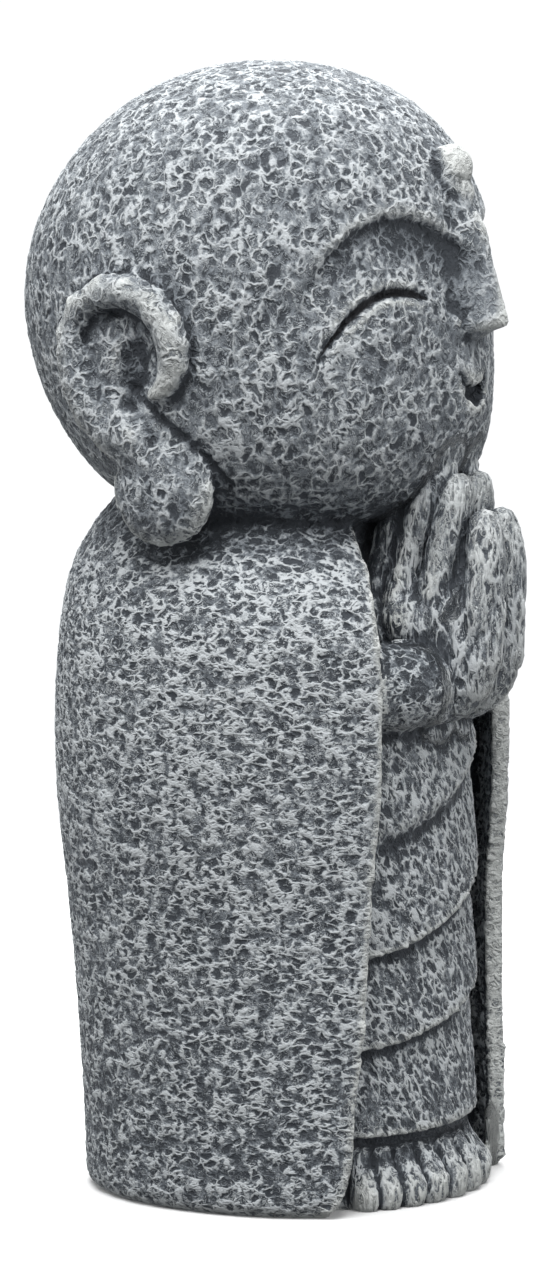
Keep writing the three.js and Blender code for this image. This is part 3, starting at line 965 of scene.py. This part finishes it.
def hammered_height(wiring, place, fine_work, robe, cells_per_metre):
    """Height of the worked stone from 0, in a pit, to 1, on a ridge. Used by mesh and material."""
    w = wiring
    laid = worked_place(w, place, fine_work, robe)
    swirl = w.noise(laid, w.maths("MULTIPLY", cells_per_metre, 0.75), 2.0, 0.6)
    crinkle = w.noise(laid, w.maths("MULTIPLY", cells_per_metre, 2.0), 1.0, 0.5)
    swirled = w.shift(w.shift(laid, swirl, 6.2 * MM), crinkle, 1.9 * MM)
    edges = w.cell_edges(swirled, cells_per_metre)
    broad = w.ramp(w.parts(place)[2], *NECK_FADE, 1.0, 0.0)
    ridge = w.ramp(edges, 0.03, w.blend(broad, 0.22, 0.27), 1.0, 0.0)
    crumble = w.noise(swirled, w.maths("MULTIPLY", cells_per_metre, 1.15), 3.0, 0.62)["Fac"]
    vein = w.maths("ABSOLUTE", w.maths("SUBTRACT", crumble, 0.5))
    vein = w.ramp(vein, 0.0, 0.055, 0.7, 0.0)
    strength = w.ramp(swirl["Fac"], 0.36, 0.58, 0.3, 1.0)
    line = w.maths("MAXIMUM", w.maths("MULTIPLY", ridge, strength), vein)
    rough = w.maths("SUBTRACT", crumble, 0.5)
    height = w.maths("MULTIPLY_ADD", rough, 0.6, w.maths("MULTIPLY_ADD", line, 0.76, 0.14))
    return w.maths("MINIMUM", w.maths("MAXIMUM", height, 0.0), 1.0)


def relief_tree():
    """Geometry nodes that hammer the surface in and out along its normals."""
    tree = bpy.data.node_groups.new("hammered_relief", "GeometryNodeTree")
    tree.is_modifier = True
    face = tree.interface
    face.new_socket("Geometry", in_out="INPUT", socket_type="NodeSocketGeometry")
    for name, default in (("Pit size", 3.6 * MM), ("Pit depth", 0.75 * MM), ("Fine share", 0.85)):
        socket = face.new_socket(name, in_out="INPUT", socket_type="NodeSocketFloat")
        socket.default_value = default
    face.new_socket("Stone", in_out="INPUT", socket_type="NodeSocketMaterial")
    face.new_socket("Geometry", in_out="OUTPUT", socket_type="NodeSocketGeometry")
    w = Wiring(tree)
    given = w.node("NodeGroupInput")
    result = w.node("NodeGroupOutput")
    place = w.node("GeometryNodeInputPosition").outputs[0]
    normal = w.node("GeometryNodeInputNormal").outputs[0]

    def mark(name):
        made = w.node("GeometryNodeInputNamedAttribute", data_type="FLOAT")
        made.inputs["Name"].default_value = name
        return made.outputs["Attribute"]

    fine_work = mark("fine_work")
    cells = w.maths("DIVIDE", 1.0, given.outputs["Pit size"])
    height = hammered_height(w, place, fine_work, mark("robe"), cells)
    depth = w.blend(
        fine_work,
        given.outputs["Pit depth"],
        w.maths("MULTIPLY", given.outputs["Pit depth"], given.outputs["Fine share"]),
    )
    depth = w.maths("MULTIPLY", depth, w.blend(mark("edge_wear"), 1.0, 0.6))
    depth = w.maths("MULTIPLY", depth, w.blend(mark("calm"), 1.0, 0.4))
    offset = w.maths("MULTIPLY", w.maths("SUBTRACT", height, 0.45), depth)
    footing = w.ramp(w.parts(place)[2], 0.2 * MM, 2.2 * MM)
    offset = w.maths("MULTIPLY", offset, footing)
    moved = w.node("GeometryNodeSetPosition")
    w.feed(moved.inputs["Geometry"], given.outputs["Geometry"])
    w.feed(moved.inputs["Offset"], w.vector_maths("SCALE", normal, offset))
    realized = w.node("GeometryNodeRealizeInstances")
    w.feed(realized.inputs[0], moved.outputs[0])
    coated = w.node("GeometryNodeSetMaterial")
    w.feed(coated.inputs["Geometry"], realized.outputs[0])
    w.feed(coated.inputs["Material"], given.outputs["Stone"])
    w.feed(result.inputs[0], coated.outputs[0])
    return tree


def hammer(statue, settings, stone):
    """Runs the relief over the statue and works it into the mesh."""
    relief = statue.modifiers.new("relief", "NODES")
    relief.node_group = relief_tree()
    values = {"Pit size": settings.pit_size, "Pit depth": settings.pit_depth, "Stone": stone}
    for item in relief.node_group.interface.items_tree:
        if item.in_out == "INPUT" and item.name in values:
            relief[item.identifier] = values[item.name]
    work_in(statue)


def thin_out(statue, settings):
    """Brings the statue under its number of triangles, most of them where the relief is."""
    mesh = statue.data
    now = sum(len(face.vertices) - 2 for face in mesh.polygons)
    if now > settings.triangles:
        fewer = statue.modifiers.new("fewer", "DECIMATE")
        fewer.ratio = settings.triangles / now
        fewer.use_collapse_triangulate = True
        work_in(statue)


def colour_socket(wiring, share, first, second):
    """Mixes two colours by a share."""
    made = wiring.node("ShaderNodeMix", data_type="RGBA")
    sockets = (made.inputs[0], made.inputs[6], made.inputs[7])
    for socket, value in zip(sockets, (share, first, second)):
        wiring.feed(socket, value)
    return made.outputs[2]


def opaque(colour):
    """A colour property as a four-part colour."""
    return (*colour, 1.0)


def eye_groove_shade(wiring, place):
    """1 along the closed eyes' grooves, where painted shade and dark wash go, 0 elsewhere."""
    w = wiring
    x, y, z = w.parts(place)
    ahead = w.maths("SUBTRACT", HEAD_SETBACK, y)
    angle = w.maths("ARCTAN2", w.maths("ABSOLUTE", x), ahead)
    angle = w.maths("DEGREES", angle)
    height = w.maths("DIVIDE", w.maths("SUBTRACT", z, HEAD_MIDDLE), MM)
    out = w.maths("DIVIDE", w.maths("SUBTRACT", angle, EYE_PEAK_DEG), EYE_SPREAD_DEG)
    drop = w.blend(w.maths("GREATER_THAN", out, 0.0), EYE_FALL_IN, EYE_FALL_OUT)
    fall = w.maths("MULTIPLY", drop, w.maths("MULTIPLY", out, out))
    gap = w.maths("SUBTRACT", w.maths("SUBTRACT", EYE_HEIGHT, fall), height)
    slope = w.maths("MULTIPLY", drop, out)
    slope = w.maths("MULTIPLY", slope, 2.0 / (EYE_SPREAD_DEG * MM_PER_DEGREE))
    steep = w.maths("SQRT", w.maths("MULTIPLY_ADD", slope, slope, 1.0))
    gap = w.maths("DIVIDE", w.maths("ABSOLUTE", gap), steep)
    inner = w.ramp(angle, EYE_INNER_DEG + 0.5, EYE_INNER_DEG + 6.0)
    outer = w.ramp(angle, EYE_OUTER_DEG - 12.0, EYE_OUTER_DEG - 1.0, 1.0, 0.0)
    width = w.maths("MULTIPLY_ADD", w.maths("MULTIPLY", inner, outer), 0.85, 0.38)
    begun = w.ramp(angle, EYE_INNER_DEG, EYE_INNER_DEG + 1.0)
    within = w.maths("MULTIPLY", begun, w.maths("LESS_THAN", angle, EYE_OUTER_DEG - 1.5))
    line = w.ramp(w.maths("DIVIDE", gap, width), 0.6, 1.15, 1.0, 0.0)
    return w.maths("MULTIPLY", line, within)


def painted_stone(settings):
    """Dark-washed, dry-brushed cast stone, with painted shade in its hollows, creases and eye
    grooves, towards the floor and under the head.
    """
    material = bpy.data.materials.new("painted_cast_stone")
    material.use_nodes = True
    tree = material.node_tree
    tree.nodes.clear()
    w = Wiring(tree)
    place = w.node("ShaderNodeTexCoord").outputs["Object"]

    def mark(name):
        return w.node("ShaderNodeAttribute", attribute_name=name).outputs["Fac"]

    fine_work = mark("fine_work")
    cells = 1.0 / settings.pit_size
    height = hammered_height(w, place, fine_work, mark("robe"), cells)
    height = w.blend(w.maths("MULTIPLY", mark("calm"), 0.6), height, 0.42)
    grit = w.noise(place, 1900.0, 2.0, 0.7)["Fac"]
    blotch = w.noise(place, 75.0, 2.0, 0.6)["Fac"]
    up = w.parts(place)[2]
    # Painted shade: the stone is darker towards the floor
    tone = w.maths("ADD", height, w.ramp(up, 0.0, 0.17, -0.15, 0.0))
    tone = w.maths("ADD", tone, w.ramp(mark("relief_swell"), -0.3, 0.3, -0.1, 0.1))
    tone = w.maths("MULTIPLY_ADD", w.maths("SUBTRACT", grit, 0.5), 0.8, tone)
    tone = w.maths("MULTIPLY_ADD", w.maths("SUBTRACT", blotch, 0.5), 0.4, tone)
    # Painted shade in the sheltered hollows, with the wash that stays there; where the shelter is
    # deepest it is lifted again
    tone = w.maths("SUBTRACT", tone, w.ramp(mark("hollow"), 0.12, 0.7, 0.0, 0.45))
    tone = w.maths("ADD", tone, w.ramp(mark("hollow"), 0.74, 0.95, 0.0, 0.55))
    tone = w.maths("ADD", tone, w.ramp(up, 0.17, 0.2, 0.0, 0.05))
    # Painted shade in the creases and grooves, with the dark wash they hold
    tone = w.maths("MULTIPLY_ADD", mark("crease"), -0.6, tone)
    tone = w.maths("MULTIPLY_ADD", mark("edge_wear"), 0.27, tone)
    # Painted shade on the band round the shoulders, under the head
    shade_under_head = w.maths("MULTIPLY", w.ramp(up, 0.125, 0.165), w.ramp(up, 0.178, 0.195, 1.0, 0.0))
    tone = w.maths("MULTIPLY_ADD", shade_under_head, -0.09, tone)
    lower = colour_socket(
        w, w.ramp(tone, 0.0, 0.55), opaque(settings.pit_colour), opaque(settings.stone_colour)
    )
    flat = w.ramp(up, *NECK_FADE, 1.0, 0.0)
    pale = w.ramp(tone, w.blend(flat, 0.42, 0.4), w.blend(flat, 1.12, 0.72))
    upper = colour_socket(w, pale, lower, opaque(settings.ridge_colour))
    worn = w.maths("MULTIPLY", mark("edge_wear"), w.ramp(tone, 0.24, 0.62))
    worn = w.maths("MULTIPLY", worn, 0.85)
    worn_colour = colour_socket(w, worn, upper, opaque(settings.edge_colour))
    # Painted shade in the closed eyes' grooves, with the dark wash they hold
    groove_shade = w.maths("MULTIPLY", eye_groove_shade(w, place), 0.9)
    colour = colour_socket(w, groove_shade, worn_colour, (0.012, 0.012, 0.014, 1.0))
    bump = w.node("ShaderNodeBump")
    bump.inputs["Strength"].default_value = 0.9
    bump.inputs["Distance"].default_value = 0.8 * MM
    w.feed(bump.inputs["Height"], w.maths("ADD", height, w.maths("MULTIPLY", grit, 0.3)))
    shader = w.node("ShaderNodeBsdfPrincipled")
    w.feed(shader.inputs["Base Color"], colour)
    w.feed(shader.inputs["Roughness"], w.ramp(tone, 0.2, 0.9, 0.72, 0.92))
    shader.inputs["Specular IOR Level"].default_value = 0.25
    w.feed(shader.inputs["Normal"], bump.outputs[0])
    output = w.node("ShaderNodeOutputMaterial")
    w.feed(output.inputs["Surface"], shader.outputs[0])
    return material


def pale_floor(settings):
    """A matt, nearly white floor with a faint mottle."""
    material = bpy.data.materials.new("pale_floor")
    material.use_nodes = True
    tree = material.node_tree
    w = Wiring(tree)
    shader = tree.nodes["Principled BSDF"]
    place = w.node("ShaderNodeTexCoord").outputs["Object"]
    mottle = w.noise(place, 14.0, 3.0, 0.5)["Fac"]
    paler = tuple(min(1.0, part * 1.02) for part in settings.floor_colour)
    colour = colour_socket(w, mottle, opaque(settings.floor_colour), opaque(paler))
    w.feed(shader.inputs["Base Color"], colour)
    shader.inputs["Roughness"].default_value = 0.9
    shader.inputs["Specular IOR Level"].default_value = 0.1
    return material


def round_floor(settings):
    """A wide round floor under the figure."""
    disc = bmesh.new()
    bmesh.ops.create_circle(disc, cap_ends=True, segments=96, radius=settings.floor_radius)
    mesh = bpy.data.meshes.new("floor")
    disc.to_mesh(mesh)
    disc.free()
    mesh.materials.append(pale_floor(settings))
    floor = bpy.data.objects.new("floor", mesh)
    bpy.context.scene.collection.objects.link(floor)
    floor.visible_diffuse = False


def softbox(name, place, width, height, power, aim):
    """A rectangular studio light at a place, turned to the aim."""
    light = bpy.data.lights.new(name, "AREA")
    light.shape = "RECTANGLE"
    light.size = width
    light.size_y = height
    light.energy = power
    box = bpy.data.objects.new(name, light)
    box.location = place
    box.rotation_euler = (Vector(aim) - Vector(place)).to_track_quat("-Z", "Y").to_euler()
    bpy.context.scene.collection.objects.link(box)


def white_room(settings):
    """A white room, seen evenly, whose light falls mostly from above."""
    world = bpy.data.worlds.new("white_room")
    world.use_nodes = True
    bpy.context.scene.world = world
    tree = world.node_tree
    w = Wiring(tree)
    background = tree.nodes["Background"]
    background.inputs["Color"].default_value = (0.98, 0.99, 1.0, 1.0)
    direction = w.node("ShaderNodeTexCoord").outputs["Generated"]
    overhead = w.ramp(w.parts(direction)[2], -0.2, 0.9, 0.3, 1.1)
    lit = w.maths("MULTIPLY", overhead, settings.sky)
    seen = w.node("ShaderNodeLightPath").outputs["Is Camera Ray"]
    w.feed(background.inputs["Strength"], w.blend(seen, lit, 1.05))


def round_the_figure(azimuth, distance, height):
    """A place at an azimuth from the figure's front, a level distance from its axis."""
    return Vector((math.sin(azimuth) * distance, -math.cos(azimuth) * distance, height))


def studio_camera(settings):
    """A long lens at the photograph's angle, with the figure where the photograph has it."""
    place = round_the_figure(settings.azimuth, settings.distance, settings.camera_height)
    chest = Vector((0.0, 0.0, HEIGHT / 2))
    ahead = (chest - place).normalized()
    right = ahead.cross(Vector((0.0, 0.0, 1.0))).normalized()
    up = right.cross(ahead)
    pixel = settings.frame_height / PHOTO_HEIGHT
    aim = chest - right * FIGURE_RIGHT * pixel - up * FIGURE_ABOVE * pixel
    data = bpy.data.cameras.new("studio_camera")
    reach = (chest - place).length
    data.lens = data.sensor_width * reach / settings.frame_height
    data.clip_end = 100.0
    camera = bpy.data.objects.new("studio_camera", data)
    camera.location = place
    camera.rotation_euler = (aim - place).to_track_quat("-Z", "Y").to_euler()
    bpy.context.scene.collection.objects.link(camera)
    bpy.context.scene.camera = camera


class STATUETTE_OT_statue(bpy.types.Operator):
    """Carve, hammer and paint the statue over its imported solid"""

    bl_idname = "statuette.statue"
    bl_label = "Make Statue"

    def execute(self, context):
        settings = context.scene.statuette_stone
        stone = painted_stone(settings)
        statue = cast_solid(settings)
        soften(statue.data, settings)
        shape_nose(statue.data, settings)
        carve_face(statue.data, settings)
        carve_ears(statue.data, settings)
        carve_toes(statue.data, settings)
        mark_form(statue.data)
        hammer(statue, settings, stone)
        thin_out(statue, settings)
        mark_swell(statue.data)
        statue.data.shade_smooth()
        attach(statue, BODY)
        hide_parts(NODE)
        return {"FINISHED"}


class STATUETTE_OT_stage(bpy.types.Operator):
    """Set up the floor, the lights and the camera"""

    bl_idname = "statuette.stage"
    bl_label = "Make Stage"

    def execute(self, context):
        settings = context.scene.statuette_studio
        round_floor(settings)
        white_room(settings)
        for name, turn, distance, height, wide, tall, power, on_floor in SOFTBOXES:
            place = round_the_figure(settings.azimuth + math.radians(turn), distance, height)
            aim = (place.x, place.y, 0.0) if on_floor else (0.0, 0.0, HEIGHT / 2)
            softbox(name, place, wide, tall, getattr(settings, power), aim)
        studio_camera(settings)
        context.scene.view_settings.view_transform = "Standard"
        return {"FINISHED"}


class STATUETTE_PT_panel(bpy.types.Panel):
    """The statuette's steps and sizes"""

    bl_idname = "STATUETTE_PT_panel"
    bl_label = "Statuette"
    bl_space_type = "VIEW_3D"
    bl_region_type = "UI"
    bl_category = "Statuette"

    def draw(self, context):
        layout = self.layout
        for settings in (context.scene.statuette_stone, context.scene.statuette_studio):
            column = layout.column(align=True)
            for name in settings.__annotations__:
                column.prop(settings, name)
        layout.operator(STATUETTE_OT_statue.bl_idname)
        layout.operator(STATUETTE_OT_stage.bl_idname)


CLASSES = (
    StoneSettings,
    StudioSettings,
    STATUETTE_OT_statue,
    STATUETTE_OT_stage,
    STATUETTE_PT_panel,
)


def register():
    """Adds the classes and the scene's settings."""
    for item in CLASSES:
        bpy.utils.register_class(item)
    bpy.types.Scene.statuette_stone = PointerProperty(type=StoneSettings)
    bpy.types.Scene.statuette_studio = PointerProperty(type=StudioSettings)


def unregister():
    """Takes the settings and the classes away again."""
    del bpy.types.Scene.statuette_studio
    del bpy.types.Scene.statuette_stone
    for item in reversed(CLASSES):
        bpy.utils.unregister_class(item)


def main():
    """Makes the statue and its stage."""
    register()
    bpy.ops.statuette.statue()
    bpy.ops.statuette.stage()


if __name__ == "__main__":
    main()
